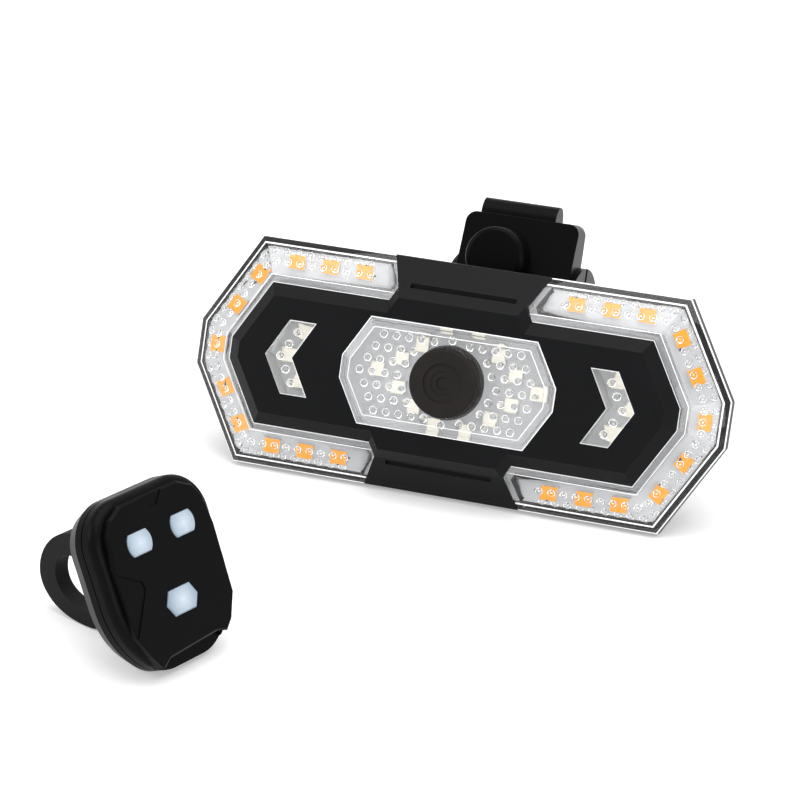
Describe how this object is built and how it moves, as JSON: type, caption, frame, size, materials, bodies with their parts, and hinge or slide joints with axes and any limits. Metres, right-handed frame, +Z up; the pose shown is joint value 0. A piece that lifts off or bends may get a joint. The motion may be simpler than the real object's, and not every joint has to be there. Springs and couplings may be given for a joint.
{
  "type": "bicycle turn signal light",
  "caption": "Eight-sided black light with clear domed wing lenses over amber lamps, arrow windows and a centre button, a post clamp behind, and a small strap-on remote beside it.",
  "frame": {"origin": "bottom centre of the whole set as it lies on a table", "axes": "+Z up from the table, +X to the right along the light's length, the fronts of the light and the remote face -Y"},
  "size_m": [0.11, 0.1547, 0.046],
  "materials": {
    "black_plastic": "fine satin texture",
    "clear_lens": "clear, polished, domed inside",
    "white_plastic": "matt white",
    "white_board": "white solder mask",
    "amber_lamp": "amber silicone",
    "white_lamp": "pale yellow silicone",
    "button_rubber": "satin",
    "black_rubber": "matt",
    "steel": "plated",
    "brass": "turned",
    "battery_foil": "foil pouch",
    "green_board": "solder mask",
    "pale_button": "translucent, satin"
  },
  "bodies": {
    "light": {"front_cover": "black_plastic", "lens_right": "clear_lens", "lens_left": "clear_lens", "center_lens": "clear_lens", "arrow_lens_right": "clear_lens", "arrow_lens_left": "clear_lens", "light_shield": "white_plastic", "main_board": "white_board", "turn_leds_right": "amber_lamp", "turn_leds_left": "amber_lamp", "center_leds": "white_lamp", "arrow_leds": "amber_lamp", "power_switch": "black_plastic", "rear_housing": "black_plastic", "housing_seal": "black_rubber", "housing_screws": "steel", "battery": "battery_foil", "usb_socket": "steel", "swivel_insert": "brass", "swivel_screw": "steel"},
    "power_button": {"power_button": "button_rubber"},
    "charging_cover": {"usb_cover": "black_rubber"},
    "clamp": {"clamp_band": "black_plastic", "rubber_liner": "black_rubber", "clamp_nut": "steel"},
    "knob": {"clamp_knob": "black_plastic", "clamp_screw": "steel"},
    "remote": {"remote_front_cover": "black_plastic", "remote_back_cover": "black_plastic", "remote_seal": "black_rubber", "remote_board": "green_board", "remote_switches": "black_plastic", "remote_cell": "steel", "remote_screws": "steel", "remote_strap": "black_rubber"},
    "remote_left_button": {"remote_button_left": "pale_button"},
    "remote_right_button": {"remote_button_right": "pale_button"},
    "remote_lower_button": {"remote_button_lower": "pale_button"}
  },
  "joints": [
    {"name": "power_button_press", "type": "slide", "parent": "light", "child": "power_button", "axis": [0, 0.9422, -0.3351], "range_m": [0, 0.0006], "stiffness_N_per_m": 1500, "springref_m": -0.0003},
    {"name": "charging_cover_open", "type": "hinge", "parent": "light", "child": "charging_cover", "pos_m": [0.0462, 0.03683, 0.01871], "axis": [0, -0.3351, -0.9422], "range_deg": [0, 110]},
    {"name": "clamp_swivel", "type": "hinge", "parent": "light", "child": "clamp", "pos_m": [0, 0.04031, 0.0249], "axis": [0, 0.9422, -0.3351], "range_deg": [-90, 90]},
    {"name": "knob_turn", "type": "hinge", "parent": "clamp", "child": "knob", "pos_m": [-0.001, 0.05395, 0.03937], "axis": [0, 0.9422, -0.3351], "continuous": true},
    {"name": "remote_lift", "type": "slide", "parent": "light", "child": "remote", "axis": [0, 0, 1], "range_m": [-0.002, 0.05]},
    {"name": "remote_left_button_press", "type": "slide", "parent": "remote", "child": "remote_left_button", "axis": [-0.8509, 0.3198, -0.4168], "range_m": [0, 0.0004], "stiffness_N_per_m": 600, "springref_m": -0.0003},
    {"name": "remote_right_button_press", "type": "slide", "parent": "remote", "child": "remote_right_button", "axis": [-0.8509, 0.3198, -0.4168], "range_m": [0, 0.0004], "stiffness_N_per_m": 600, "springref_m": -0.0003},
    {"name": "remote_lower_button_press", "type": "slide", "parent": "remote", "child": "remote_lower_button", "axis": [-0.8509, 0.3198, -0.4168], "range_m": [0, 0.0004], "stiffness_N_per_m": 600, "springref_m": -0.0003}
  ]
}
